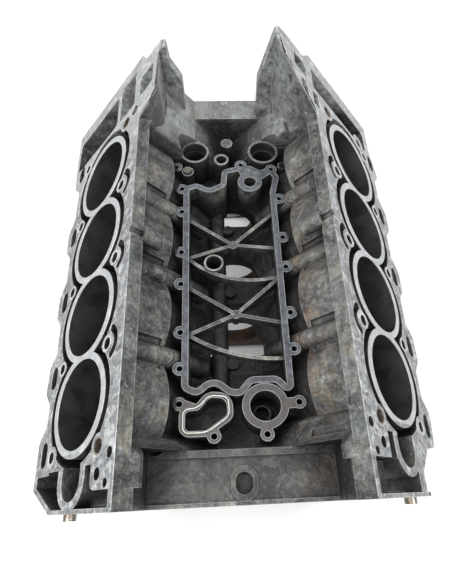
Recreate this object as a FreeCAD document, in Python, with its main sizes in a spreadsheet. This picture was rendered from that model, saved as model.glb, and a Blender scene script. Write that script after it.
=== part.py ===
import FreeCAD, Part
import math
import os
from FreeCAD import Placement, Rotation, Vector

# Aluminium V8 cylinder block with five cross-bolted main bearing caps.
# Frame: +Y runs from the timing end to the flywheel end along the crankshaft axis, +Z is up
# and +X is the side of the rear-staggered bank. The origin is on the crankshaft axis,
# level with the first bore of the bank on the -X side.
# Bank coordinates: "out" is across the bank, away from the valley, "along" is the crankshaft
# direction counted from that bank's first bore, "up" is along the bores from the crankshaft axis.

doc = FreeCAD.newDocument("engine_block")
sheet = doc.addObject("Spreadsheet::Sheet", "sizes")

DRIVING = [
    ("bore_dia", 92, "cylinder bore"),
    ("bore_pitch", 98, "bore spacing along a bank"),
    ("bore_count", 4, "bores in a bank"),
    ("bank_angle", 90, "angle between the banks"),
    ("bank_stagger", 16, "rear shift of the +X bank"),
    ("deck_height", 228, "crankshaft axis to deck face"),
    ("front_reach", 102, "first bore to the timing face"),
    ("rear_reach", 436, "first bore to the flywheel face"),
    ("bore_foot", 88, "crankshaft axis to the lower end of the bores"),
    ("barrel_wall", 7.5, "wall of a bore inside the jacket"),
    ("jacket_gap", 9, "width of the open water jacket"),
    ("jacket_depth", 56, "depth of the water jacket"),
    ("jacket_skin", 5, "outer wall of the water jacket"),
    ("lower_barrel_wall", 9, "wall of a bore below the jacket"),
    ("deck_plate", 15, "thickness of the deck plate"),
    ("deck_inner", 79, "bore line to the deck edge at the valley"),
    ("deck_outer", 72, "bore line to the deck edge outside"),
    ("lobe_reach", 87, "bore line to the tip of a drain lobe"),
    ("lobe_half", 23, "half length of a drain lobe"),
    ("drain_line", 69, "bore line to the drain holes"),
    ("drain_width", 15, "width of a drain hole"),
    ("drain_length", 27, "length of a drain hole"),
    ("bolt_line", 49.5, "bore line to the head bolts"),
    ("bolt_hole", 12, "head bolt hole"),
    ("bolt_column", 25, "column round a head bolt"),
    ("bolt_front", 47.5, "first bore to the front head bolts"),
    ("bolt_rear", 49.5, "last bore to the rear head bolts"),
    ("crank_bore", 75, "main bearing housing bore"),
    ("web_width", 24, "width of a main bearing web"),
    ("pin_shift", 8, "first bore to the first crankpin"),
    ("bay_radius", 104, "clearance round the crankshaft"),
    ("skirt_inner", 104, "half width inside the skirt"),
    ("skirt_wall", 12, "wall of the skirt"),
    ("pan_depth", 65, "crankshaft axis to the pan rail"),
    ("pan_rail", 130, "half width over the pan rail"),
    ("pan_rail_thickness", 12, "thickness of the pan rail"),
    ("cap_width", 150, "width of a main bearing cap"),
    ("cap_height", 52, "depth of a main bearing cap"),
    ("cap_thickness", 22, "thickness of a main bearing cap"),
    ("cap_fit", 0.05, "gap each side of a cap in its seat"),
    ("cap_bolt_offset", 52, "crankshaft axis to a cap bolt"),
    ("cap_bolt_dia", 11, "cap bolt shank"),
    ("cap_bolt_length", 90, "cap bolt shank length"),
    ("cap_bolt_flat", 16, "cap bolt head across flats"),
    ("cap_bolt_head", 9, "cap bolt head height"),
    ("side_bolt_drop", 30, "crankshaft axis down to a side bolt"),
    ("side_bolt_dia", 8, "side bolt shank"),
    ("side_bolt_flat", 13, "side bolt head across flats"),
    ("side_bolt_head", 7, "side bolt head height"),
    ("valley_top", 155, "crankshaft axis to the valley rail"),
    ("valley_floor", 96, "crankshaft axis to the tops of the webs in the valley"),
    ("rail_width", 7, "width of the valley rail"),
    ("rail_boss", 15, "boss round a valley screw hole"),
    ("rail_hole", 6.6, "valley screw hole"),
    ("rib_width", 4, "width of the valley ribs"),
    ("rib_top", 147, "crankshaft axis to the top of the valley ribs"),
    ("rib_depth", 12, "depth of the valley ribs"),
    ("gallery_dia", 21, "oil gallery casting"),
    ("trough_floor", 150, "crankshaft axis to the floor of the front trough"),
    ("trough_half", 92, "half width of the front trough"),
    ("front_wall", 4, "thickness of the timing flange"),
    ("chest_depth", 40, "timing face to the front bulkhead"),
    ("rear_flange", 18, "thickness of the flywheel flange"),
    ("dowel_dia", 13, "timing cover dowel"),
    ("dowel_proud", 7, "how far a dowel stands out"),
    ("head_dowel_dia", 17, "cylinder head dowel sleeve"),
    ("head_dowel_length", 14, "cylinder head dowel sleeve length"),
    ("side_bolt_length", 56, "side bolt shank length"),
    ("side_bolt_bite", 15, "depth of a side bolt in its cap"),
    ("cap_corner", 20, "bevel at the lower corners of a cap"),
    ("timing_dowel_x", 180, "crankshaft axis across to a timing dowel"),
    ("timing_dowel_z", 102, "crankshaft axis up to a timing dowel"),
    ("gearbox_dowel_x", 165, "crankshaft axis across to a gearbox dowel"),
    ("gearbox_dowel_z", 20, "crankshaft axis up to a gearbox dowel"),
    ("wall_boss_along", 167, "first bore to the sensor boss on the valley wall"),
    ("drain_plug_dia", 18, "drain plug thread"),
    ("drain_plug_length", 16, "drain plug thread length"),
    ("drain_plug_flat", 22, "drain plug across flats"),
    ("drain_plug_head", 6, "drain plug head height"),
    ("valley_screw_dia", 7, "valley screw shank"),
    ("valley_screw_length", 16, "valley screw shank length"),
    ("valley_screw_flat", 10, "valley screw across flats"),
    ("valley_screw_head", 3, "valley screw head height"),
    ("gallery_plug_dia", 20, "oil gallery plug"),
]

for row, (alias, value, note) in enumerate(DRIVING, start=1):
    sheet.set(f"A{row}", note)
    sheet.set(f"B{row}", str(value))
    sheet.setAlias(f"B{row}", alias)
doc.recompute()


def size(alias):
    return float(sheet.get(alias))


bore_r = size("bore_dia") / 2
pitch = size("bore_pitch")
count = int(size("bore_count"))
deck = size("deck_height")
front_y = -size("front_reach")
rear_y = size("rear_reach")
last_bore = pitch * (count - 1)
barrel_r = bore_r + size("barrel_wall")
jacket_r = barrel_r + size("jacket_gap")
skin_r = jacket_r + size("jacket_skin")
lower_r = bore_r + size("lower_barrel_wall")
jacket_floor = deck - size("jacket_depth")
shelf = jacket_floor - size("jacket_skin")
plate_floor = deck - size("deck_plate")
inner = -size("deck_inner")
outer = size("deck_outer")
bolt_line = size("bolt_line")
bolt_ys = [-size("bolt_front")]
bolt_ys += [pitch * (k + 0.5) for k in range(count - 1)]
bolt_ys += [last_bore + size("bolt_rear")]
bay_r = size("bay_radius")
pan = -size("pan_depth")
skirt_x = size("skirt_inner") + size("skirt_wall")
valley_top = size("valley_top")
valley_floor = size("valley_floor")

# Main bearings stand half a pitch either side of each crankpin.
main_ys = [size("pin_shift") + pitch * (k - 0.5) for k in range(count + 1)]

# What differs between the banks: the shift along the crankshaft, the drain holes, and the
# outside of the rear end.
BANKS = {
    "left": {
        "turn": -1,
        "shift": 0.0,
        "drains": [-43, pitch / 2 - 6, pitch * 1.5 - 6, pitch * 2.5 - 6, last_bore + 54],
        "flange_end": 40,
        "nose": [(40, 0, 3), (86, 24, 4), (86, 36, 6)],
        "rear_outer": 90,
    },
    "right": {
        "turn": 1,
        "shift": size("bank_stagger"),
        "drains": [-45, pitch / 2 + 3, pitch * 1.5 + 3, pitch * 2.5 + 3, last_bore + 51],
        "flange_end": 30,
        "nose": [(30, 0, 3), (31, 23, 6), (55, 47, 8), (78, 50, 8)],
        "rear_outer": 72,
    },
}


def block_on(x0, x1, y0, y1, z0, z1):
    return Part.makeBox(x1 - x0, y1 - y0, z1 - z0, Vector(x0, y0, z0))


def post(x, y, z0, z1, radius):
    return Part.makeCylinder(radius, z1 - z0, Vector(x, y, z0))


def outline(points, radius=0.0):
    """Closed face through the points, each corner rounded by the radius or by its own third value."""
    total = len(points)
    edges = []
    ends = []
    for i in range(total):
        here = Vector(points[i][0], points[i][1], 0)
        before = Vector(points[i - 1][0], points[i - 1][1], 0)
        after = Vector(points[(i + 1) % total][0], points[(i + 1) % total][1], 0)
        own = points[i][2] if len(points[i]) > 2 else radius
        into = (here - before).normalize()
        away = (after - here).normalize()
        turn = into.getAngle(away)
        if own <= 0 or turn < 0.02:
            ends.append((here, here, None))
            continue
        cut = own * math.tan(turn / 2)
        cut = min(cut, 0.49 * (here - before).Length, 0.49 * (after - here).Length)
        real = cut / math.tan(turn / 2)
        start = here - into * cut
        stop = here + away * cut
        bisector = (away - into).normalize()
        centre = here + bisector * (real / math.cos(turn / 2))
        middle = centre - bisector * real
        ends.append((start, stop, middle))
    for i in range(total):
        start, stop, middle = ends[i]
        if middle is not None:
            edges.append(Part.Arc(start, middle, stop).toShape())
        following = ends[(i + 1) % total][0]
        if (following - stop).Length > 1e-6:
            edges.append(Part.LineSegment(stop, following).toShape())
    return Part.Face(Part.Wire(edges))


def prism(points, z0, z1, radius=0.0):
    face = outline(points, radius)
    face.translate(Vector(0, 0, z0))
    return face.extrude(Vector(0, 0, z1 - z0))


def slot(x, y, z0, z1, wide, long):
    """Upright slot with round ends, its length along Y."""
    half = (long - wide) / 2
    body = block_on(x - wide / 2, x + wide / 2, y - half, y + half, z0, z1)
    return body.multiFuse([post(x, y - half, z0, z1, wide / 2), post(x, y + half, z0, z1, wide / 2)])


def section(points, y0, y1, radius=0.0):
    """Prism along Y from a section drawn in X and Z."""
    body = prism(points, 0, y1 - y0, radius)
    body.rotate(Vector(0, 0, 0), Vector(1, 0, 0), 90)
    body.translate(Vector(0, y1, 0))
    return body


def joined(shapes):
    return shapes[0].multiFuse(shapes[1:]) if len(shapes) > 1 else shapes[0]


def in_bank(side, shape):
    """Carries a shape from bank coordinates to the block."""
    bank = BANKS[side]
    body = shape.copy()
    if bank["turn"] < 0:
        body = body.mirror(Vector(0, 0, 0), Vector(1, 0, 0))
    body.rotate(Vector(0, 0, 0), Vector(0, 1, 0), bank["turn"] * size("bank_angle") / 2)
    body.translate(Vector(0, bank["shift"], 0))
    return body


def bank_point(side, out, up):
    """Where a point of a bank section lies in X and Z."""
    turn = BANKS[side]["turn"]
    half = math.radians(size("bank_angle") / 2)
    x = up * math.sin(half) + out * math.cos(half)
    z = up * math.cos(half) - out * math.sin(half)
    return turn * x, z


# ---- the banks ----------------------------------------------------------------------------

def nose(side):
    """Outer outline of a bank's front end, from the timing face back to the first drain lobe."""
    front = front_y - BANKS[side]["shift"]
    return [(out, front + back, radius) for out, back, radius in BANKS[side]["nose"]]


def deck_edge(side):
    """Outline of the deck in bank coordinates, with a lobe at every drain hole."""
    bank = BANKS[side]
    front = front_y - bank["shift"]
    rear = rear_y - bank["shift"]
    lobe = size("lobe_reach")
    half = size("lobe_half")
    points = [(inner, front, 3)] + nose(side)
    for number, along in enumerate(bank["drains"]):
        if number > 0:
            points += [(outer, along - half - 8, 8), (lobe, along - half + 8, 10)]
        if number < len(bank["drains"]) - 1:
            points += [(lobe, along + half - 8, 10), (outer, along + half + 8, 8)]
    points += [(bank["rear_outer"], last_bore + 80, 12), (bank["rear_outer"], rear, 4)]
    points += [(inner, rear, 3)]
    points += [(inner - 14, last_bore + 109, 4), (inner - 14, last_bore + 46, 10)]
    points += [(inner, last_bore + 34, 12)]
    return points


def bank_casting(side):
    """Outside of one bank, solid."""
    bank = BANKS[side]
    front = front_y - bank["shift"]
    rear = rear_y - bank["shift"]
    shapes = [prism(deck_edge(side), plate_floor, deck)]
    for k in range(count):
        shapes.append(post(0, pitch * k, shelf, plate_floor + 1, skin_r))
        shapes.append(post(0, pitch * k, 85, shelf + 1, lower_r))
    shapes.append(block_on(-46, 46, bolt_ys[0] - 6, bolt_ys[-1] + 6, 85, shelf + 1))
    shapes.append(block_on(-55, 55, bolt_ys[0] - 6, bolt_ys[-1] + 6, shelf, plate_floor + 1))
    for along in bolt_ys:
        for across in (-bolt_line, bolt_line):
            shapes.append(post(across, along, 108, plate_floor + 1, size("bolt_column") / 2))
    wide = size("drain_width") + 12
    long = size("drain_length") + 12
    for along in bank["drains"]:
        shapes.append(slot(size("drain_line"), along, 96, plate_floor + 1, wide, long))
        shapes.append(block_on(40, size("drain_line"), along - 4, along + 4, 96, plate_floor + 1))
    # The timing chest and the flywheel end are solid here and hollowed later.
    chest = [(inner, front, 3)] + nose(side)
    chest += [(62, bank["drains"][0] + 8, 6), (-60, bank["drains"][0] + 4, 6), (inner, front + 46, 6)]
    shapes.append(prism(chest, 84, plate_floor + 1))
    tail = [(inner, last_bore + 38, 6), (bank["rear_outer"], last_bore + 34, 8), (bank["rear_outer"], rear, 4)]
    tail += [(inner, rear, 3)]
    shapes.append(prism(tail, 84, plate_floor + 1))
    return joined(shapes)


def bank_hollows(side):
    """Everything that opens at the deck of one bank."""
    bank = BANKS[side]
    front = front_y - bank["shift"]
    rear = rear_y - bank["shift"]
    top = deck + 1
    shapes = []
    jacket = joined([post(0, pitch * k, jacket_floor, top, jacket_r) for k in range(count)])
    barrels = joined([post(0, pitch * k, jacket_floor - 1, top + 1, barrel_r) for k in range(count)])
    columns = []
    for along in bolt_ys:
        radius = size("head_dowel_dia") / 2 + 3 if along in (bolt_ys[0], bolt_ys[-1]) else size("bolt_hole") / 2 + 3
        columns += [post(across, along, jacket_floor - 1, top + 1, radius) for across in (-bolt_line, bolt_line)]
    shapes.append(jacket.cut(joined([barrels] + columns)))
    for k in range(count):
        shapes.append(post(0, pitch * k, size("bore_foot"), top, bore_r))
    for along in bolt_ys:
        for across in (-bolt_line, bolt_line):
            shapes.append(post(across, along, deck - 70, top, size("bolt_hole") / 2))
    for along in bank["drains"]:
        shapes.append(slot(size("drain_line"), along, 60, top, size("drain_width"), size("drain_length")))
    # Crescent coolant slots wrapped round the inner head bolts.
    for k in range(count - 1):
        shapes.append(crescent(-bolt_line, pitch * (k + 0.5), 12, 20, 57, jacket_floor, top))
    return shapes


def crescent(x, y, inner_radius, outer_radius, half_angle, z0, z1):
    """Arc slot about a point, open side facing +X, with round ends."""
    turn = math.radians(half_angle)
    middle = (inner_radius + outer_radius) / 2
    wide = outer_radius - inner_radius

    def at(radius, angle):
        return Vector(x - radius * math.cos(angle), y + radius * math.sin(angle), z0)

    edges = [
        Part.Arc(at(outer_radius, -turn), at(outer_radius, 0), at(outer_radius, turn)).toShape(),
        Part.LineSegment(at(outer_radius, turn), at(inner_radius, turn)).toShape(),
        Part.Arc(at(inner_radius, turn), at(inner_radius, 0), at(inner_radius, -turn)).toShape(),
        Part.LineSegment(at(inner_radius, -turn), at(outer_radius, -turn)).toShape(),
    ]
    body = Part.Face(Part.Wire(edges)).extrude(Vector(0, 0, z1 - z0))
    ends = [at(middle, -turn), at(middle, turn)]
    return body.multiFuse([post(end.x, end.y, z0, z1, wide / 2) for end in ends])


def chest_hollow(side):
    """Hollow of the timing chest in one bank, with the walls that stand in it left solid."""
    bank = BANKS[side]
    front = front_y - bank["shift"]
    bulkhead = -62
    top = deck + 1
    lip = front + size("front_wall")
    if side == "left":
        room = [(inner + 6, lip), (36, lip), (80, lip + 23), (80, bulkhead), (inner + 6, bulkhead)]
        hollow = prism(room, 112, top)
    else:
        room = [(-28, lip), (18, lip), (18, lip + 22), (-28, lip + 30)]
        hollow = prism(room, 112, top)
        hollow = joined([hollow, block_on(-40, -27, lip + 29, -60, 112, top)])
        hollow = joined([hollow, block_on(inner + 6, -27, lip, lip + 30, deck - 15, top)])
    loop_y = -73
    loop_wall = [post(-1, loop_y, 100, top + 1, 27), block_on(-28, 26, loop_y, bulkhead + 1, 100, top + 1)]
    corner = prism([(inner, -45, 2), (inner, -84, 2), (-40, -84, 8), (-40, -45, 2)], 150, top + 1)
    lobe = block_on(52, 90, bank["drains"][0] - 22, bulkhead + 1, 100, top + 1)
    hollow = hollow.cut(joined(loop_wall + [corner, lobe]))
    loop = slot(-1, loop_y + 4, 112, top, 38, 46).cut(post(0, 0, 100, top + 1, barrel_r))
    holes = [post(-51, -71, 165, top, 5.5), post(-70, -55, 165, top, 5), post(-66, -79, 165, top, 4)]
    return [hollow, loop] + holes


def timing_lip(side):
    """Plate of the timing face below the corner of the deck, where the dowel stands."""
    turn = BANKS[side]["turn"]
    end = BANKS[side]["flange_end"]
    corner = bank_point(side, end, deck)
    edge = size("timing_dowel_x") + 10
    points = [bank_point(side, end - 4, deck), corner, (turn * edge, corner[1] - 10), (turn * edge, 64, 8)]
    points += [(turn * 140, 6, 20), (turn * 110, -10), (turn * 110, 40), bank_point(side, end - 4, 140)]
    return section(points, front_y, front_y + size("front_wall"))


def tail_hollow(side):
    """Cells of the flywheel end of one bank."""
    bank = BANKS[side]
    top = deck + 1
    wall = last_bore + 67
    flange = rear_y - size("rear_flange") - 4 - bank["shift"]
    cells = []
    if side == "left":
        cells.append(prism([(-25, wall), (84, wall), (84, flange), (-25, flange)], 132, top, 6))
        cells.append(prism([(-66, wall), (-31, wall), (-31, flange + 6), (-66, flange + 6)], 132, top, 3))
        cells.append(prism([(-90, wall + 1), (-76, wall + 1), (-76, wall + 33), (-90, wall + 33)], 190, top, 2))
        cells.append(post(-68, last_bore + 54, 180, top, 6.5))
    else:
        room = prism([(-77, wall), (60, wall), (60, flange), (-77, flange)], 132, top, 5)
        cells.append(room.cut(post(37, wall - 1, 100, top + 1, 14)))
        cells.append(post(37, wall - 1, 170, top, 6))
        cells.append(prism([(-81, wall - 31), (-68, wall - 31), (-68, wall - 8), (-81, wall - 8)], 180, top, 2.5))
    return cells


# ---- crankcase and valley -----------------------------------------------------------------

def crankcase():
    """Solid lower half between the timing face and the flywheel face."""
    rail = size("pan_rail")
    lip = pan + size("pan_rail_thickness")
    half = [(rail, pan), (rail, lip), (skirt_x, lip + 10), (skirt_x, 30), (40, 116)]
    points = half + [(-x, z) for x, z in reversed(half)]
    return section(points, front_y, rear_y, 2)


def bays():
    """Room for each crank throw between two webs, and for the throws' ends at front and rear."""
    shapes = []
    half_web = size("web_width") / 2
    spans = [(main_ys[k] + half_web, main_ys[k + 1] - half_web) for k in range(count)]
    spans.append((main_ys[-1] + half_web, rear_y - size("rear_flange")))
    for start, stop in spans:
        room = Part.makeCylinder(bay_r, stop - start, Vector(0, start, 0), Vector(0, 1, 0))
        shapes.append(room)
        shapes.append(block_on(-size("skirt_inner"), size("skirt_inner"), start, stop, pan - 1, 0))
    front_room = front_y + size("chest_depth")
    shapes.append(block_on(-size("skirt_inner"), size("skirt_inner"), front_y - 1, front_room, pan - 1, 96))
    return shapes


def rail_outline():
    """Centre line of the wall that carries the valley cover."""
    return [
        (-56.5, 14, 6), (-44, 8, 8), (-27, 22, 14), (-10, 8, 8), (1, 6, 8), (12, 20, 10), (40, 20, 10),
        (53.5, 4, 6), (53.5, 270, 6), (60, 296, 8), (52, 308, 6), (38, 303, 8), (26, 312, 10), (8, 310, 8),
        (-7, 306, 6), (-9, 284, 6), (-27, 274, 10), (-44, 283, 6), (-56.5, 279, 6),
    ]


def offset_face(points, gap):
    """Closed outline moved outwards by the gap."""
    wire = outline(points).OuterWire
    return Part.Face(wire.makeOffset2D(gap))


def valley_rail():
    """Wall round the valley opening, its screw bosses and the flanges of the ports."""
    half = size("rail_width") / 2
    outside = offset_face(rail_outline(), half)
    inside = offset_face(rail_outline(), -half)
    wall = outside.cut(inside)
    wall.translate(Vector(0, 0, valley_floor))
    return wall.extrude(Vector(0, 0, valley_top - valley_floor))


RAIL_SCREWS = [(-62, 35), (-62, 77), (-62, 138), (-62, 181.5), (-62, 241.5), (-62, 278)]
RAIL_SCREWS += [(61, 53.5), (61, 97.5), (61, 158), (61, 200), (61, 259.5)]
RAIL_SCREWS += [(14.5, 317), (54, 309)]
PORT_SCREWS = [(-62, -3), (-27, -37), (26, -37), (61, -5.5)]
ROUND_PORT = (26, -8)
KIDNEY_PORT = [(-56, -11, 5), (-42, -10, 6), (-31, 3, 9), (-14, 1, 9), (-13, -16, 6), (-35, -31, 4), (-56, -31, 5)]
KIDNEY_CENTRE = (-30, -15)
GALLERY = (-20, 98)


def link(start, stop, wide, z0, z1):
    """Straight bar between two upright posts of the same width."""
    run = Vector(stop[0] - start[0], stop[1] - start[1], 0)
    side = Vector(-run.y, run.x, 0).normalize() * (wide / 2)
    points = [(start[0] + side.x, start[1] + side.y), (stop[0] + side.x, stop[1] + side.y)]
    points += [(stop[0] - side.x, stop[1] - side.y), (start[0] - side.x, start[1] - side.y)]
    return prism(points, z0, z1)


def bow(start, crown, stop, wide, z0, z1):
    """Bar bent to the arc through three points."""
    circle = Part.Arc(Vector(*start, z0), Vector(*crown, z0), Vector(*stop, z0)).toShape().Curve
    centre = circle.Center
    radius = circle.Radius

    def at(point, distance):
        away = Vector(point[0], point[1], z0) - centre
        return centre + away.normalize() * distance

    near = radius - wide / 2
    far = radius + wide / 2
    edges = [
        Part.Arc(at(start, far), at(crown, far), at(stop, far)).toShape(),
        Part.LineSegment(at(stop, far), at(stop, near)).toShape(),
        Part.Arc(at(stop, near), at(crown, near), at(start, near)).toShape(),
        Part.LineSegment(at(start, near), at(start, far)).toShape(),
    ]
    return Part.Face(Part.Wire(edges)).extrude(Vector(0, 0, z1 - z0))


def valley_ribs():
    """Crossed ribs that tie the two banks together under the valley cover."""
    top = size("rib_top")
    low = top - size("rib_depth")
    wide = size("rib_width")
    front_node = (0, 101)
    rear_node = (0, 196)
    arms = [(front_node, end) for end in ((-54, 137), (-54, 77), (52, 147), (52, 89))]
    arms += [(rear_node, end) for end in ((-54, 235), (-54, 178), (52, 243), (52, 190))]
    shapes = [link(start, stop, wide, low, top) for start, stop in arms]
    shapes += [post(node[0], node[1], low - 4, top, 5.5) for node in (front_node, rear_node)]
    shapes.append(bow((-54, 177), (0, 148), (54, 150), wide, low, top))
    shapes.append(bow((-54, 77), (0, 52), (54, 46), wide, low, top))
    return shapes


def valley_posts():
    """Bosses, port towers and the oil gallery that stand in the valley."""
    screw_foot = valley_top - 24
    boss = size("rail_boss") / 2
    shapes = [post(x, y, screw_foot, valley_top, boss) for x, y in RAIL_SCREWS]
    shapes.append(link(RAIL_SCREWS[10], (50, 259.5), size("rail_boss"), screw_foot, valley_top))
    tower = offset_face(KIDNEY_PORT, 6)
    tower.translate(Vector(0, 0, valley_floor))
    shapes.append(tower.extrude(Vector(0, 0, valley_top - valley_floor)))
    shapes.append(post(*ROUND_PORT, valley_floor, valley_top, 24))
    for number, (x, y) in enumerate(PORT_SCREWS):
        centre = KIDNEY_CENTRE if number < 2 else ROUND_PORT
        shapes.append(post(x, y, screw_foot, valley_top, 7))
        shapes.append(link((x, y), centre, 11, screw_foot, valley_top))
    shapes.append(post(25, 288, screw_foot, valley_top, 15.5))
    shapes.append(link((25, 288), RAIL_SCREWS[11], 13, screw_foot, valley_top))
    shapes.append(link((25, 288), RAIL_SCREWS[12], 11, screw_foot, valley_top))
    shapes.append(post(-24, 169, 120, 150, 11.5))
    gallery_end = main_ys[-1]
    tube = Part.makeCylinder(
        size("gallery_dia") / 2, gallery_end + 60, Vector(GALLERY[0], -60, GALLERY[1]), Vector(0, 1, 0)
    )
    shapes.append(tube)
    for along in main_ys[1:]:
        shapes.append(post(-5, along, 88, 104, 7))
    for x, y, radius in ((-46, 341, 18.5), (45, 340, 20), (-69, 315, 7), (-55, 307, 7.5), (70, 315, 7), (-11, 327, 9.5)):
        shapes.append(post(x, y, 100, valley_top, radius))
    shapes.append(post(-3, 362, 100, valley_top - 5, 8))
    return shapes


def valley_holes():
    """Ports, screw holes and the bore of the gallery."""
    shapes = [post(x, y, valley_top - 20, valley_top + 1, size("rail_hole") / 2) for x, y in RAIL_SCREWS + PORT_SCREWS]
    shapes.append(prism(KIDNEY_PORT, 126, valley_top + 1))
    port = post(*ROUND_PORT, 112, valley_top + 1, 16)
    seat = post(24, -11, 111, 128, 10).cut(post(24, -11, 110, 129, 8))
    shapes.append(port.cut(seat))
    shapes.append(post(25, 288, 112, valley_top + 1, 8))
    shapes.append(post(-24, 169, 110, 151, 9.5))
    for x, y, wide, narrow in ((-46, 341, 16, 14.5), (45, 340, 17.5, 14.5)):
        shapes.append(post(x, y, 143, valley_top + 1, wide))
        shapes.append(post(x, y, 118, 144, narrow))
    shapes.append(post(-69, 315, 135, valley_top + 1, 3))
    shapes.append(post(-55, 307, 135, valley_top + 1, 3.5))
    shapes.append(post(70, 315, 135, valley_top + 1, 3))
    shapes.append(post(-11, 327, 140, valley_top + 1, 7))
    return shapes


def flywheel_end():
    """Flange for the gearbox, the wall across the valley and the horns beside it."""
    flange_y = rear_y - size("rear_flange")
    right = bank_point("right", BANKS["right"]["rear_outer"], deck)
    right_in = bank_point("right", inner, deck)
    left = bank_point("left", BANKS["left"]["rear_outer"], deck)
    left_in = bank_point("left", inner, deck)
    top = valley_top + 2
    foot = size("pan_rail") + 20
    face = [(-foot, pan, 6), (foot, pan, 6), (192, -20, 20), (right[0] + 4, right[1] - 70, 20), right, right_in]
    face += [(48, top, 8), (-48, top, 8), left_in, left, (left[0] - 2, left[1] - 60, 20), (-192, -20, 20)]
    shapes = [section(face, flange_y, rear_y)]
    ridge = deck * math.sqrt(2)
    web_right = [(39, 112), (39, 205, 12), (58, ridge - 60, 4), (76, ridge - 76, 3), right_in, (106, 112)]
    web_left = [(-57, 112), (-57, 205, 12), (-70, 226, 6), (-72, 247, 3), (-78, ridge - 78, 3), left_in, (-106, 112)]
    shapes.append(section(web_right, 404, flange_y + 1))
    shapes.append(section(web_left, 404, flange_y + 1))
    horn_right = [(120, 322), (100, 346, 8), (84, 360, 12), (68, 378, 12), (60, 405), (120, 405)]
    horn_left = [(-120, 326), (-92, 336, 8), (-84, 345, 6), (-84, 405), (-120, 405)]
    for side, plan in (("right", horn_right), ("left", horn_left)):
        above = in_bank(side, block_on(-300, 200, 200, 600, deck, deck + 200))
        shapes.append(prism(plan, 112, 280).cut(above))
    shapes.append(block_on(-100, 100, flange_y - 18, flange_y + 1, 100, top))
    return shapes


def horn_cells():
    """Pockets in the deck strips of the horns."""
    top = deck + 1
    wall = last_bore + 67
    right = [
        prism([(-115, wall + 4), (-89, wall + 4), (-89, wall + 27), (-115, wall + 27)], 196, top, 2.5),
        prism([(-104, wall - 29), (-91, wall - 29), (-91, wall - 7), (-104, wall - 7)], 196, top, 2.5),
        slot(-122, wall - 10, 200, top, 10, 19),
        post(-136, wall + 5, 210, top, 4),
    ]
    left = [prism([(-104, wall + 2), (-76, wall + 2), (-76, wall + 34), (-104, wall + 34)], 196, top, 2.5)]
    return [in_bank("right", joined(right)), in_bank("left", left[0])]


def trough():
    """Tray across the front of the valley."""
    floor = size("trough_floor")
    half = size("trough_half")
    low = floor - 10
    shapes = [block_on(-half - 5, half + 5, front_y, -57, low, floor)]
    shapes.append(block_on(-half - 5, half + 5, front_y, front_y + size("front_wall"), low, floor + 3))
    shapes.append(block_on(-half - 5, half + 5, -57, -50, 112, floor + 5))
    for turn in (-1, 1):
        near = turn * half
        far = turn * (half + 5)
        shapes.append(block_on(min(near, far), max(near, far), front_y, -50, low, 198))
    shapes.append(slot(1, -82, floor - 4, floor + 2, 26, 33))
    opening = block_on(half - 17, half, front_y + 6, -59, low - 1, floor + 1)
    eye = slot(1, -82, floor - 8, floor + 3, 17, 21)
    return joined(shapes).cut(joined([opening, eye]))


def trough_room():
    """Air above the trough, leaving the thick lips under the deck edges."""
    half = size("trough_half")
    room = block_on(-half, half, front_y + size("front_wall"), -50, size("trough_floor"), 290)
    slice_over = block_on(-half, half, front_y - 1, -50, size("trough_floor") + 3, 290)
    lips = []
    for side in BANKS:
        lips.append(in_bank(side, block_on(inner, inner + 6, -84, -46, deck - 27, deck + 1)))
        lips.append(in_bank(side, block_on(inner, inner + 6, -140, -46, plate_floor, deck + 1)))
    return joined([room, slice_over]).cut(joined(lips))


MOUNT_HOLES = [(90, -8), (90, 26), (190, -8), (190, 26)]


def side_features():
    """Ribs, engine mount bosses and drain plug bosses outside the casting."""
    shapes = []
    for turn in (-1, 1):
        for along in main_ys:
            rib = [(turn * (skirt_x - 2), 28), (turn * (skirt_x - 2), pan + 4), (turn * (size("pan_rail") - 2), pan + 4)]
            shapes.append(section(rib, along - 4, along + 4))
        for along, height in MOUNT_HOLES:
            shapes.append(Part.makeCylinder(13, 18, Vector(turn * (skirt_x - 4), along, height), Vector(turn, 0, 0)))
    for side in BANKS:
        boss = Part.makeCylinder(15, 26, Vector(52, pitch, shelf - 14), Vector(1, 0, 0))
        shapes.append(in_bank(side, boss))
    return shapes


def side_holes():
    """Threaded holes of the side features, the flanges and the cross bolts."""
    shapes = []
    rail_mid = (skirt_x + size("pan_rail")) / 2
    for turn in (-1, 1):
        for along, height in MOUNT_HOLES:
            start = Vector(turn * (skirt_x + 15), along, height)
            shapes.append(Part.makeCylinder(5, 22, start, Vector(-turn, 0, 0)))
        rail_y = front_y + 20
        while rail_y < rear_y - 30:
            shapes.append(post(turn * rail_mid, rail_y, pan - 1, pan + size("pan_rail_thickness") + 12, 3.3))
            rail_y += 66
        for along in main_ys:
            start = Vector(turn * (skirt_x + 30), along, -size("side_bolt_drop"))
            depth = skirt_x + 30 - size("cap_width") / 2 + 1
            shapes.append(Part.makeCylinder(size("side_bolt_dia") / 2 + 0.3, depth, start, Vector(-turn, 0, 0)))
            spot = Vector(turn * (skirt_x + 30), along, -size("side_bolt_drop"))
            shapes.append(Part.makeCylinder(9, 30, spot, Vector(-turn, 0, 0)))
    for side in BANKS:
        hole = Part.makeCylinder(9, 20, Vector(78.5, pitch, shelf - 14), Vector(-1, 0, 0))
        shapes.append(in_bank(side, hole))
    for degrees in (-8, 22, 62, 82, 98, 118, 158, 188):
        x = 226 * math.cos(math.radians(degrees))
        z = 226 * math.sin(math.radians(degrees))
        if abs(x) > 40:
            shapes.append(Part.makeCylinder(5.5, 60, Vector(x, rear_y - 40, z), Vector(0, 1, 0)))
    return shapes


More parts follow.
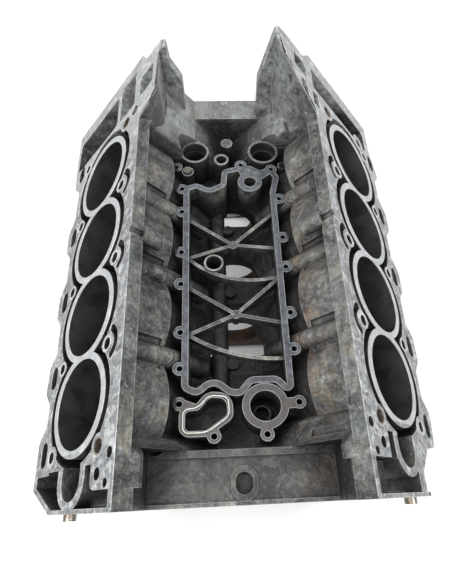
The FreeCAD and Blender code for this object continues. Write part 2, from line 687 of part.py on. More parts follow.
def fastener_holes():
    """Seats in the casting for the dowels, the cap bolts and the gallery plug."""
    dowel = size("dowel_dia") / 2
    gallery_start = front_y + size("chest_depth")
    shapes = []
    for turn in (-1, 1):
        seat = Vector(turn * size("timing_dowel_x"), front_y - 1, size("timing_dowel_z"))
        shapes.append(Part.makeCylinder(dowel, 9, seat, Vector(0, 1, 0)))
        seat = Vector(turn * size("gearbox_dowel_x"), rear_y + 1, size("gearbox_dowel_z"))
        shapes.append(Part.makeCylinder(dowel, 11, seat, Vector(0, -1, 0)))
        bolt_top = size("cap_bolt_length") - size("cap_height") + 3
        for along in main_ys:
            shapes.append(post(turn * size("cap_bolt_offset"), along, -1, bolt_top, size("cap_bolt_dia") / 2))
    x, z = GALLERY
    shapes.append(Part.makeCylinder(size("gallery_plug_dia") / 2, 9, Vector(x, gallery_start - 1, z), Vector(0, 1, 0)))
    shapes.append(Part.makeCylinder(6, main_ys[-1] - gallery_start, Vector(x, gallery_start, z), Vector(0, 1, 0)))
    for side in BANKS:
        for along in (bolt_ys[0], bolt_ys[-1]):
            seat = post(-bolt_line, along, deck - size("head_dowel_length"), deck + 1, size("head_dowel_dia") / 2)
            shapes.append(in_bank(side, seat))
        shapes.append(in_bank(side, post(-79, size("wall_boss_along"), 198, deck, 4.2)))
    return shapes


def build_block():
    """The casting, machined."""
    core = crankcase()
    chamber = offset_face(rail_outline(), 2)
    chamber.translate(Vector(0, 0, valley_floor))
    core = core.cut(chamber.extrude(Vector(0, 0, 80)))
    solid = [core] + [in_bank(side, bank_casting(side)) for side in BANKS]
    solid += flywheel_end() + side_features()
    body = joined(solid)
    seal = Part.makeCylinder(62, 60, Vector(0, rear_y - 40, 0), Vector(0, 1, 0))
    cuts = bays() + [seal, trough_room()] + horn_cells()
    for side in BANKS:
        cuts += [in_bank(side, shape) for shape in chest_hollow(side) + tail_hollow(side)]
        shift = BANKS[side]["shift"]
        window_end = BANKS[side]["flange_end"] - 10
        window = block_on(-58, window_end, front_y - shift - 1, front_y - shift + 6, 118, 210)
        cuts.append(in_bank(side, window))
    cuts.append(block_on(-88, 88, front_y - 1, -62, 90, size("trough_floor") - 10))
    body = body.cut(cuts)
    dowel_x = size("timing_dowel_x")
    dowel_z = size("timing_dowel_z")
    seats = [Part.makeCylinder(11, 14, Vector(turn * dowel_x, front_y, dowel_z), Vector(0, 1, 0)) for turn in (-1, 1)]
    for side in BANKS:
        seats.append(timing_lip(side))
        seats.append(in_bank(side, post(-79, size("wall_boss_along"), 192, deck - 13, 9)))
    body = joined([body, valley_rail(), trough()] + seats + valley_posts() + valley_ribs())
    late = valley_holes() + side_holes() + fastener_holes()
    half_web = size("web_width") / 2
    half_cap = size("cap_width") / 2
    for along in main_ys:
        late.append(block_on(-half_cap, half_cap, along - half_web - 1, along + half_web + 1, pan - 1, 0))
    length = main_ys[-1] - main_ys[0] + size("web_width") + 20
    late.append(Part.makeCylinder(size("crank_bore") / 2, length, Vector(0, main_ys[0] - 22, 0), Vector(0, 1, 0)))
    for side in BANKS:
        late += [in_bank(side, shape) for shape in bank_hollows(side)]
    body = body.cut(late)
    return body


def bind(item, **bound):
    """Ties an object's properties to cells of the sheet."""
    for name, expression in bound.items():
        item.setExpression(name, expression)
    return item


def primitive(kind, name, placement, **bound):
    item = doc.addObject(kind, name)
    item.Placement = placement
    return bind(item, **bound)


def upright(x, y, z):
    return Placement(Vector(x, y, z), Rotation())


def pointing(x, y, z, direction):
    return Placement(Vector(x, y, z), Rotation(Vector(0, 0, 1), direction))


def fuse(name, items):
    item = doc.addObject("Part::MultiFuse", name)
    item.Shapes = items
    return item


def cut(name, base, tool):
    item = doc.addObject("Part::Cut", name)
    item.Base = base
    item.Tool = tool
    return item


def group(name, items):
    item = doc.addObject("Part::Compound", name)
    item.Links = items
    return item


def main_cap(number, along):
    """Iron cap under one main bearing, held by two upright bolts and two cross bolts."""
    name = f"main_cap_{number}"
    gap = size("cap_fit")
    half = size("cap_width") / 2 - gap
    foot = -size("cap_height")
    y0 = along - size("cap_thickness") / 2
    body = primitive(
        "Part::Box", name + "_body", upright(-half, y0, foot),
        Length="sizes.cap_width - 2 * sizes.cap_fit", Width="sizes.cap_thickness", Height="sizes.cap_height",
    )
    tools = [primitive(
        "Part::Cylinder", name + "_bore", pointing(0, y0 - 1, 0, Vector(0, 1, 0)),
        Radius="sizes.crank_bore / 2", Height="sizes.cap_thickness + 2",
    )]
    for turn, side in ((-1, "a"), (1, "b")):
        tools.append(primitive(
            "Part::Cylinder", f"{name}_bolt_hole_{side}", upright(turn * size("cap_bolt_offset"), along, foot - 1),
            Radius="sizes.cap_bolt_dia / 2 + 0.5", Height="sizes.cap_height + 2",
        ))
        tools.append(primitive(
            "Part::Cylinder", f"{name}_cross_hole_{side}",
            pointing(turn * (half + 1), along, -size("side_bolt_drop"), Vector(-turn, 0, 0)),
            Radius="sizes.side_bolt_dia / 2", Height="sizes.side_bolt_bite + 2",
        ))
        corner = doc.addObject("Part::Prism", f"{name}_corner_{side}")
        corner.Polygon = 4
        corner.Placement = pointing(turn * half, y0 - 1, foot, Vector(0, 1, 0))
        tools.append(bind(corner, Circumradius="sizes.cap_corner", Height="sizes.cap_thickness + 2"))
    whole = cut(name, body, fuse(name + "_holes", tools))
    return whole


def hex_bolt(name, foot, direction, flat, head, shank_dia, shank_length):
    """Hexagon bolt whose head sits on the foot and whose shank runs along the direction."""
    point = Vector(*foot)
    base = doc.addObject("Part::Prism", name + "_head")
    base.Polygon = 6
    base.Placement = Placement(point - direction * size(head), Rotation(Vector(0, 0, 1), direction))
    bind(base, Circumradius=f"sizes.{flat} / sqrt(3)", Height=f"sizes.{head}")
    shank = primitive(
        "Part::Cylinder", name + "_shank", Placement(point, Rotation(Vector(0, 0, 1), direction)),
        Radius=f"sizes.{shank_dia} / 2", Height=f"sizes.{shank_length}",
    )
    return fuse(name, [base, shank])


def sleeve(name, placement, outer_dia, length, inner_share):
    """Short dowel tube."""
    tube = primitive("Part::Cylinder", name + "_out", placement, Radius=f"sizes.{outer_dia} / 2", Height=length)
    hole = primitive("Part::Cylinder", name + "_in", placement, Radius=inner_share, Height=length)
    return cut(name, tube, hole)


block = doc.addObject("Part::Feature", "block")
block.Shape = build_block()

nodes = [block]
for number, along in enumerate(main_ys, start=1):
    nodes.append(main_cap(number, along))

cap_bolts = []
cross_bolts = []
for number, along in enumerate(main_ys, start=1):
    for turn, side in ((-1, "a"), (1, "b")):
        foot = (turn * size("cap_bolt_offset"), along, -size("cap_height"))
        name = f"cap_bolt_{number}{side}"
        cap_bolts.append(hex_bolt(
            name, foot, Vector(0, 0, 1), "cap_bolt_flat", "cap_bolt_head", "cap_bolt_dia", "cap_bolt_length"
        ))
        foot = (turn * skirt_x, along, -size("side_bolt_drop"))
        name = f"cross_bolt_{number}{side}"
        cross_bolts.append(hex_bolt(
            name, foot, Vector(-turn, 0, 0), "side_bolt_flat", "side_bolt_head", "side_bolt_dia", "side_bolt_length"
        ))
nodes.append(group("cap_bolts", cap_bolts))
nodes.append(group("cross_bolts", cross_bolts))

timing_dowels = []
for side, turn in (("left", -1), ("right", 1)):
    place = pointing(turn * size("timing_dowel_x"), front_y + 8, size("timing_dowel_z"), Vector(0, -1, 0))
    timing_dowels.append(sleeve(f"timing_dowel_{side}", place, "dowel_dia", "sizes.dowel_proud + 8", "sizes.dowel_dia / 2 - 2"))
nodes.append(group("timing_dowels", timing_dowels))

gearbox_dowels = []
for side, turn in (("left", -1), ("right", 1)):
    place = pointing(turn * size("gearbox_dowel_x"), rear_y - 10, size("gearbox_dowel_z"), Vector(0, 1, 0))
    gearbox_dowels.append(sleeve(f"gearbox_dowel_{side}", place, "dowel_dia", "sizes.dowel_proud + 10", "sizes.dowel_dia / 2 - 2"))
nodes.append(group("gearbox_dowels", gearbox_dowels))

head_dowels = []
for side, bank in BANKS.items():
    for number, along in enumerate((bolt_ys[0], bolt_ys[-1]), start=1):
        x, z = bank_point(side, -bolt_line, deck - size("head_dowel_length"))
        axis = Vector(*[bank_point(side, 0, 1)[0], 0, bank_point(side, 0, 1)[1]])
        place = pointing(x, along + bank["shift"], z, axis)
        head_dowels.append(sleeve(
            f"head_dowel_{side}_{number}", place, "head_dowel_dia", "sizes.head_dowel_length", "sizes.head_dowel_dia / 2 - 2"
        ))
nodes.append(group("head_dowels", head_dowels))

drain_plugs = []
for side, bank in BANKS.items():
    x, z = bank_point(side, 78, shelf - 14)
    end = bank_point(side, 77, shelf - 14)
    direction = Vector(end[0] - x, 0, end[1] - z)
    foot = (x, pitch + bank["shift"], z)
    drain_plugs.append(hex_bolt(f"drain_plug_{side}", foot, direction, "drain_plug_flat", "drain_plug_head", "drain_plug_dia", "drain_plug_length"))
nodes.append(group("drain_plugs", drain_plugs))

screw = hex_bolt("valley_screw", (-55, 307, valley_top), Vector(0, 0, -1), "valley_screw_flat", "valley_screw_head", "valley_screw_dia", "valley_screw_length")
nodes.append(screw)
plug_place = pointing(GALLERY[0], front_y + size("chest_depth") - 4, GALLERY[1], Vector(0, 1, 0))
nodes.append(primitive("Part::Cylinder", "gallery_plug", plug_place, Radius="sizes.gallery_plug_dia / 2", Height="12"))

doc.recompute()
for node in nodes:
    node.Label = node.Name
for item in doc.Objects:
    if "Invalid" in item.State or "Error" in item.State:
        raise SystemExit(f"{item.Name} did not build: {item.State}")
os.makedirs("parts", exist_ok=True)
for node in nodes:
    shape = node.Shape
    if shape.isNull() or not shape.isValid():
        raise SystemExit(f"{node.Label} has no valid shape")
    shape.exportStep(f"parts/{node.Label}.step")
    print(node.Label, len(shape.Solids), round(shape.Volume / 1000, 2))
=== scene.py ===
import math

import bmesh
import bpy
from mathutils import Matrix, Vector


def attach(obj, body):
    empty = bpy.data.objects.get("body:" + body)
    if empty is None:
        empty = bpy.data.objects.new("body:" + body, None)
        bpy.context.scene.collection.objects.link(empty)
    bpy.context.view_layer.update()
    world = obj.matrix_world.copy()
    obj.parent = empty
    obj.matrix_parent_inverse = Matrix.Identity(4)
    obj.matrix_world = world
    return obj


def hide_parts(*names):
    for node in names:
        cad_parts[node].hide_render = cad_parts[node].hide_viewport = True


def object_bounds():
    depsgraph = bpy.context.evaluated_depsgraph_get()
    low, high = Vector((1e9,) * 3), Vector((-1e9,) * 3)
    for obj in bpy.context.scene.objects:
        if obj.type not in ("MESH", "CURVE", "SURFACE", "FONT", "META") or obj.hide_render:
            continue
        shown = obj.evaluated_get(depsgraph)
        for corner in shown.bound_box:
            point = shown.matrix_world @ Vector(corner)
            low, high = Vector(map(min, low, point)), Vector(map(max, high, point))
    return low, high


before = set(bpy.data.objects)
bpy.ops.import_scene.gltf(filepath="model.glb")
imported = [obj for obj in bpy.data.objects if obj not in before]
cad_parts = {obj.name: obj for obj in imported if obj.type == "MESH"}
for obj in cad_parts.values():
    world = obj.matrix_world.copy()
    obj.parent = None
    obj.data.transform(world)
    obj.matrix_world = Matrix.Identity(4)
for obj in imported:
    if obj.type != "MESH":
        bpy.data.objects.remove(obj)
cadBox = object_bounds()
print("frame loaded:", len(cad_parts), "nodes")

# The casting's own layout in metres, which its finishes follow
casting = {
    "deckHeight": 0.228,
    "borePitch": 0.098,
    "boreRadius": 0.046,
    "barrelRadius": 0.0535,
    "jacketRadius": 0.0625,
    "bankStagger": 0.016,
    "frontFace": -0.102,
    "rearFace": 0.436,
    "panFace": -0.065,
    "boreFoot": 0.05,
    "crankRoom": 0.1055,
    "crankEnds": (-0.095, 0.414),
    "boltLine": 0.0495,
    # inner and outer radius of the painted highlight round the head bolt holes
    "boltRimHighlight": (0.004, 0.0085),
    "nearFace": 0.0004,  # how near a face's plane counts as on it
}

noLimit = (-1000, 1000, 0)
zones = {
    # half width, along and height: lowest, highest and softness of the limit, in mm
    "rail": ((-1000, 82, 0.3), (-46, 380, 0.3), (154.6, 155.6, 0.3)),
    "port": (noLimit, (-46, 16, 8), noLimit),
    "rust": ((58, 98, 10), noLimit, (100, 170, 20)),
    # the front trough, which is darkened as painted shade
    "trough": ((-1000, 100, 0.3), (-98, -45, 4), (100, 200, 0.3)),
    # the horns, which are painted paler as painted light
    "horns": (noLimit, (345, 450, 20), (162, 400, 12)),
    # the low chamber between the banks, painted near black as shade
    "chamber": ((-1000, 56, 4), (0, 390, 12), (-1000, 138, 10)),
    "rearDeck": (noLimit, (300, 450, 40), noLimit),
}

diagonal = math.sqrt(0.5)  # both banks lean 45 degrees


def linear(hexCode):  # sRGB hex to the linear colour a shader takes
    parts = [int(hexCode[i:i + 2], 16) / 255 for i in (1, 3, 5)]
    return [c / 12.92 if c <= 0.04045 else ((c + 0.055) / 1.055) ** 2.4 for c in parts] + [1.0]


def perMetre(millimetres):  # texture scale that gives features of this size
    return 1000 / millimetres


def addNode(tree, kind, settings=None, values=None, links=None):
    node = tree.nodes.new(kind)
    for name, value in (settings or {}).items():
        setattr(node, name, value)
    for socket, value in (values or {}).items():
        node.inputs[socket].default_value = value
    for socket, source in (links or {}).items():
        tree.links.new(source, node.inputs[socket])
    return node


def newMaterial(name):
    material = bpy.data.materials.new(name)
    material.use_nodes = True
    tree = material.node_tree
    tree.nodes.clear()
    shader = addNode(tree, "ShaderNodeBsdfPrincipled")
    addNode(tree, "ShaderNodeOutputMaterial", links={"Surface": shader.outputs[0]})
    place = addNode(tree, "ShaderNodeTexCoord").outputs["Object"]
    return material, tree, shader, place


def dress(material, *names):  # gives CAD nodes a finish
    for name in names:
        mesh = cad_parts[name].data
        mesh.materials.clear()
        mesh.materials.append(material)


castFinish = {
    "cast": "#5b5d5e",
    "silt": "#77746a",
    # dark dirt, and also the painted shade over the front trough
    "grimeAndShade": "#1b1b1b",
    "pale": "#9da0a0",
    "rust": "#75573c",
    "milled": "#7e8082",
    # chalky bloom, also used as a painted highlight on edges and bolt hole rims
    "chalkAndHighlight": "#c4c5c4",
    "stain": "#3d3e40",
    "ring": "#b4b6b7",
    "rail": "#303235",
    "railWear": "#52555a",
    "port": "#3c3733",
    "bore": "#38383a",
    "boreWear": "#262628",
    # near black painted shade on the coolant jackets' walls
    "jacketShade": "#1d1b1a",
    # near black painted shade for the corners, the crank bay and the low chamber
    "shadeBlack": "#141416",
    # pale horns: painted light on a cleaner skin
    "washedAndLit": "#a3a6a5",
    "grain": 1.1,
    "lumps": 8,
    "swells": 32,
    "metallic": 0.55,
    "bumpStrength": 0.7,
    "bumpDepth": 0.0026,
    # how far the painted shade in the corners reaches
    "shadeReach": 0.05,
    # width of the pale edges, partly wear and partly a painted highlight
    "edgeWearAndHighlight": 0.0014,
    "drawnOut": 0.4,
    # layers on each surface: colour, size in mm, detail, roughness, warp, where the pattern
    # starts and is full, strength, and whether it is drawn out down the walls
    "roughLayers": [
        ("silt", 34, 8, 0.70, 0.6, 0.44, 0.62, 1.00, False),
        ("grimeAndShade", 80, 10, 0.75, 1.0, 0.44, 0.58, 0.80, True),
        ("pale", 19, 9, 0.78, 0.5, 0.53, 0.66, 0.55, False),
        ("grimeAndShade", 8, 6, 0.65, 0.0, 0.44, 0.66, 0.55, False),
        ("pale", 3.2, 8, 0.75, 0.0, 0.54, 0.66, 0.40, False),
        ("grimeAndShade", 2.4, 6, 0.75, 0.0, 0.52, 0.66, 0.45, False),
    ],
    "milledLayers": [
        ("chalkAndHighlight", 12, 9, 0.75, 0.3, 0.48, 0.60, 0.85, False),
        ("stain", 8, 9, 0.78, 0.6, 0.50, 0.60, 0.80, False),
        ("stain", 3.0, 8, 0.78, 0.0, 0.52, 0.62, 0.55, False),
        ("silt", 45, 5, 0.60, 0.8, 0.56, 0.70, 0.60, False),
    ],
    "railLayers": [
        ("railWear", 6, 8, 0.70, 0.4, 0.42, 0.64, 1.00, False),
        ("grimeAndShade", 15, 7, 0.70, 0.0, 0.50, 0.66, 0.60, False),
    ],
    "boreLayers": [("boreWear", 24, 6, 0.60, 0.5, 0.45, 0.65, 1.00, False)],
}


def sandCastAluminium():
    # Sand-cast aluminium: a pebbled grey skin that old coolant and oil have stained in broad
    # blotches. Painted shade turns the corners, the crank bay, the low chamber between the banks
    # and the coolant jackets' walls near black, and darkens the front trough. The edges are pale,
    # partly worn and partly a painted highlight. The horns at the rear are painted paler, partly a
    # cleaner skin and partly painted light. The decks and flanges are milled flat and have a chalky
    # bloom, the head bolt holes have a painted highlight on their rims, and the barrels' rims are clean.
    material, tree, shader, place = newMaterial("sandCastAluminium")

    def calc(operation, first, second=0.0, third=None):
        node = addNode(tree, "ShaderNodeMath", {"operation": operation})
        for socket, item in zip(node.inputs, (first, second, third)):
            if item is None:
                continue
            if isinstance(item, (int, float)):
                socket.default_value = item
            else:
                tree.links.new(item, socket)
        return node.outputs[0]

    def both(*masks):
        result = masks[0]
        for mask in masks[1:]:
            result = calc("MULTIPLY", result, mask)
        return result

    def spread(value, low, high):  # stretches a narrow band of a value to 0..1
        limits = {1: low, 2: high}
        return addNode(tree, "ShaderNodeMapRange", values=limits, links={0: value}).outputs[0]

    def within(value, low, high, soft=0.0003):  # 1 between the two limits
        return both(spread(value, low - soft, low + soft), spread(value, high + soft, high - soft))

    def noise(size, detail, rough, warp=0.0, vector=None):
        values = {"Scale": perMetre(size), "Detail": detail, "Roughness": rough, "Distortion": warp}
        node = addNode(tree, "ShaderNodeTexNoise", values=values, links={"Vector": vector or place})
        return node.outputs["Fac"]

    def mix(factor, first, second, strength=1.0):
        if strength != 1.0:
            factor = calc("MULTIPLY", factor, strength)
        node = addNode(tree, "ShaderNodeMix", {"data_type": "RGBA"}, links={0: factor})
        for socket, item in ((node.inputs[6], first), (node.inputs[7], second)):
            if isinstance(item, str):
                socket.default_value = linear(castFinish[item])
            else:
                tree.links.new(item, socket)
        return node.outputs[2]

    def length(first, second):
        squares = [calc("MULTIPLY", item, item) for item in (first, second)]
        return calc("SQRT", calc("ADD", *squares))

    def layered(colour, layers):
        for name, size, detail, grit, warp, start, full, strength, runs in castFinish[layers]:
            pattern = noise(size, detail, grit, warp, drawn if runs else None)
            colour = mix(spread(pattern, start, full), colour, name, strength)
        return colour

    def zone(name):  # 1 inside a zone of the casting
        limits = [pair for pair in zip((across, y, z), zones[name]) if pair[1] is not noLimit]
        return both(*[within(value, *[edge / 1000 for edge in band]) for value, band in limits])

    def onFace(value, plane, beyond=casting["nearFace"]):
        return within(value, plane - casting["nearFace"], plane + beyond)

    # Where each point lies in its own bank
    x, y, z = addNode(tree, "ShaderNodeSeparateXYZ", links={0: place}).outputs
    across = calc("ABSOLUTE", x)
    up = calc("MULTIPLY", calc("ADD", across, z), diagonal)  # along the bores
    out = calc("MULTIPLY", calc("SUBTRACT", across, z), diagonal)  # away from the valley
    rightBank = calc("GREATER_THAN", x, 0.0)
    along = calc("SUBTRACT", y, calc("MULTIPLY", rightBank, casting["bankStagger"]))
    pitch = casting["borePitch"]
    half = pitch / 2
    turn = calc("SUBTRACT", calc("FLOORED_MODULO", calc("ADD", along, half), pitch), half)
    inRow = within(along, -half, pitch * 3.5)
    radius = length(out, turn)

    deck = onFace(up, casting["deckHeight"], 0.002)
    belowDeck = within(up, casting["boreFoot"], casting["deckHeight"] - 0.0012)
    barrel = casting["barrelRadius"]
    bore = both(within(radius, -1, casting["boreRadius"] + 0.0008), inRow, belowDeck)
    ring = both(within(radius, casting["boreRadius"], barrel + 0.0004), inRow, deck)
    jacketShade = both(within(radius, barrel - 0.0006, casting["jacketRadius"] + 0.0015), inRow, belowDeck)
    rail = zone("rail")
    port = both(rail, zone("port"))
    crankEnds = within(y, *casting["crankEnds"], 0.002)
    crankRoom = both(within(length(x, z), -1, casting["crankRoom"], 0.002), crankEnds)
    front = onFace(y, casting["frontFace"])
    rear = onFace(y, casting["rearFace"])
    pan = onFace(z, casting["panFace"])
    milled = calc("MAXIMUM", calc("MAXIMUM", front, rear), calc("MAXIMUM", pan, deck))

    # Painted shade goes in the corners, and the edges get wear and a painted highlight: how closed in a
    # point is, and how sharply it turns
    reach = {"Distance": castFinish["shadeReach"]}
    openness = addNode(tree, "ShaderNodeAmbientOcclusion", {"samples": 6}, reach).outputs["AO"]
    corner = spread(openness, 0.88, 0.30)
    rounding = {"Radius": castFinish["edgeWearAndHighlight"]}
    softened = addNode(tree, "ShaderNodeBevel", {"samples": 4}, rounding).outputs[0]
    facing = addNode(tree, "ShaderNodeNewGeometry").outputs["Normal"]
    pair = {0: softened, 1: facing}
    agree = addNode(tree, "ShaderNodeVectorMath", {"operation": "DOT_PRODUCT"}, links=pair)
    edge = spread(agree.outputs["Value"], 0.995, 0.88)

    # Painted highlight on the chamfered rims round the head bolt holes
    boltTurn = calc("SUBTRACT", calc("ABSOLUTE", turn), half)
    boltOut = calc("SUBTRACT", calc("ABSOLUTE", out), casting["boltLine"])
    boltRimHighlight = both(within(length(boltOut, boltTurn), *casting["boltRimHighlight"], 0.0006), deck)

    # Coolant and oil run down the walls, so that pattern is drawn out along the height
    stretch = {"Scale": (1, 1, castFinish["drawnOut"])}
    drawn = addNode(tree, "ShaderNodeMapping", values=stretch, links={0: place}).outputs[0]
    fine = noise(castFinish["grain"], 3, 0.7)
    lumps = noise(castFinish["lumps"], 6, 0.65)

    rough = layered("cast", "roughLayers")
    rustPattern = spread(noise(26, 8, 0.7, 0.6), 0.46, 0.60)
    rough = mix(both(rightBank, zone("rust"), rustPattern), rough, "rust", 0.6)
    # Pale edges: partly wear, partly a painted highlight
    rough = mix(edge, rough, "pale", 0.6)
    # Painted shade: the crank bay near black
    rough = mix(crankRoom, rough, "shadeBlack", 0.92)
    # Painted shade: the low chamber between the banks near black
    rough = mix(zone("chamber"), rough, "shadeBlack", 0.85)
    # Painted shade in the corners, darker the more closed in a point is
    rough = mix(corner, rough, "shadeBlack", 0.92)
    # Painted shade over the front trough
    rough = mix(zone("trough"), rough, "grimeAndShade", 0.62)
    # Painted light: the horns painted paler, partly a cleaner skin
    rough = mix(both(zone("horns"), spread(lumps, 0.30, 0.60)), rough, "washedAndLit", 0.75)

    # Milled faces: grey, with chalky bloom in patches and dark gasket stains
    flat = layered("milled", "milledLayers")
    flat = mix(both(zone("rearDeck"), spread(fine, 0.25, 0.6)), flat, "chalkAndHighlight", 0.45)
    # Painted highlight, with some wear, on the edges of the milled faces
    flat = mix(edge, flat, "chalkAndHighlight", 0.5)

    # Rail of the valley and its port flanges: dark old gasket, worn through on the edges, where a painted
    # highlight is added too
    band = layered("rail", "railLayers")
    band = mix(port, band, "port", 0.7)
    band = mix(edge, band, "pale", 0.7)

    colour = mix(milled, rough, flat)
    colour = mix(rail, colour, band)
    colour = mix(ring, colour, "ring", 0.6)
    # Painted highlight on the head bolt hole rims
    colour = mix(both(boltRimHighlight, spread(fine, 0.35, 0.6)), colour, "chalkAndHighlight", 0.8)
    # Painted shade: the coolant jackets' walls near black
    colour = mix(jacketShade, colour, "jacketShade")
    colour = mix(bore, colour, layered("bore", "boreLayers"))
    tree.links.new(colour, shader.inputs["Base Color"])

    # Milled faces are a little smoother than the cast skin, and the bores smoother still
    shine = calc("MULTIPLY_ADD", milled, -0.10, 0.46)
    shine = calc("MULTIPLY_ADD", fine, 0.20, shine)
    shine = calc("MULTIPLY_ADD", bore, -0.22, shine)
    tree.links.new(shine, shader.inputs["Roughness"])
    shader.inputs["Metallic"].default_value = castFinish["metallic"]

    # Only the cast skin is lumpy
    machined = calc("MAXIMUM", bore, calc("MULTIPLY", calc("MAXIMUM", milled, rail), 0.8))
    swells = calc("MULTIPLY", noise(castFinish["swells"], 3, 0.5), 2.2)
    height = calc("MULTIPLY_ADD", fine, 0.22, calc("ADD", lumps, swells))
    height = both(height, calc("SUBTRACT", 1.0, machined))
    relief = {"Strength": castFinish["bumpStrength"], "Distance": castFinish["bumpDepth"]}
    bump = addNode(tree, "ShaderNodeBump", values=relief, links={"Height": height})
    tree.links.new(bump.outputs[0], shader.inputs["Normal"])
    return material


metalFinishes = {
    # name: base colour, second colour, spot size in mm, cover, roughness, metallic
    "castIron": ("#4a4846", "#6a4b36", 12, 0.50, 0.62, 0.55),
    "blackOxideSteel": ("#3b3c3e", "#5a4636", 6, 0.40, 0.42, 0.9),
    "driedSealant": ("#a3a29c", "#75726b", 3, 0.45, 0.65, 0.0),
    "groundSteel": ("#8c8a84", "#7a5538", 5, 0.45, 0.36, 0.9),
    "zincPlatedSteel": ("#4d4b45", "#34322d", 4, 0.45, 0.55, 0.6),
}


def spottedMetal(name):
    # Plain metal whose skin has turned in spots: scale on iron, rust on steel, dulling on zinc
    base, second, spot, cover, roughness, metallic = metalFinishes[name]
    material, tree, shader, place = newMaterial(name)
    values = {"Scale": perMetre(spot), "Detail": 6.0, "Roughness": 0.65, "Distortion": 0.4}
    spots = addNode(tree, "ShaderNodeTexNoise", values=values, links={"Vector": place})
    pattern = spots.outputs["Fac"]
    limits = {1: 1 - cover - 0.07, 2: 1 - cover + 0.10}
    cut = addNode(tree, "ShaderNodeMapRange", values=limits, links={0: pattern})
    blend = addNode(tree, "ShaderNodeMix", {"data_type": "RGBA"}, links={0: cut.outputs[0]})
    blend.inputs[6].default_value = linear(base)
    blend.inputs[7].default_value = linear(second)
    tree.links.new(blend.outputs[2], shader.inputs["Base Color"])
    shader.inputs["Metallic"].default_value = metallic
    shader.inputs["Roughness"].default_value = roughness
    relief = {"Strength": 0.3, "Distance": 0.0004}
    bump = addNode(tree, "ShaderNodeBump", values=relief, links={"Height": pattern})
    tree.links.new(bump.outputs[0], shader.inputs["Normal"])
    return material


casts = sandCastAluminium()
dress(casts, "block")
dress(spottedMetal("castIron"), *[f"main_cap_{k}" for k in range(1, 6)])
dress(spottedMetal("blackOxideSteel"), "cap_bolts", "cross_bolts")
dress(spottedMetal("groundSteel"), "timing_dowels", "gearbox_dowels", "head_dowels")
dress(spottedMetal("zincPlatedSteel"), "drain_plugs", "valley_screw", "gallery_plug")
print("finishes on the CAD nodes")


def addPiece(bm, name, material):  # a finished mesh becomes a piece of the casting
    openEdges = sum(1 for item in bm.edges if len(item.link_faces) != 2)
    print(name, len(bm.faces), "faces", openEdges, "open edges")
    mesh = bpy.data.meshes.new(name)
    bm.to_mesh(mesh)
    bm.free()
    mesh.materials.append(material)
    piece = bpy.data.objects.new(name, mesh)
    bpy.context.collection.objects.link(piece)
    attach(piece, "root")
    return piece


portSeal = {
    "corners": [
        (-58.5, -8.5), (-43, -7.5), (-32, 5.5), (-11.5, 3.3), (-10.5, -17.3), (-34.2, -33.5), (-58.5, -33.5),
    ],
    "rounding": 6.0,
    "width": 1.0,
    "height": 0.8,
    "base": 155.0,
}


def makePortSeal():
    # Bead of old sealant left round the coolant port, pale on the dark flange
    bm = bmesh.new()
    base = portSeal["base"] / 1000
    corners = [bm.verts.new((x / 1000, y / 1000, base)) for x, y in portSeal["corners"]]
    bm.faces.new(corners)
    bmesh.ops.bevel(
        bm, geom=corners, offset=portSeal["rounding"] / 1000, offset_type="OFFSET", segments=5,
        profile=0.5, affect="VERTICES", material=-1,
    )
    middle = bm.faces[:]
    bead = bmesh.ops.inset_region(
        bm, faces=middle, thickness=portSeal["width"] / 1000, use_boundary=True, use_even_offset=True,
    )
    bmesh.ops.delete(bm, geom=middle, context="FACES")
    raised = bmesh.ops.extrude_face_region(bm, geom=bead["faces"], use_keep_orig=True)
    tops = [item for item in raised["geom"] if isinstance(item, bmesh.types.BMVert)]
    bmesh.ops.translate(bm, verts=tops, vec=(0, 0, portSeal["height"] / 1000))
    bmesh.ops.recalc_face_normals(bm, faces=bm.faces)
    addPiece(bm, "portSeal", spottedMetal("driedSealant"))


machining = {
    # round clearances above the two rear wells: centre, radius, from and to height, in mm
    "clearances": [(-46, 341, 19.0, 155.2, 230), (45, 340, 20.0, 155.2, 230)],
    "roundness": 64,
    "weld": 1e-6,  # points nearer than this are one, in metres
    "sharpFrom": 32,  # edges that turn more than this stay crisp, in degrees
}


def smoothExceptSharp(bm):
    for face in bm.faces:
        face.smooth = True
    for line in bm.edges:
        crisp = len(line.link_faces) != 2 or math.degrees(line.calc_face_angle(0)) >= machining["sharpFrom"]
        line.smooth = not crisp


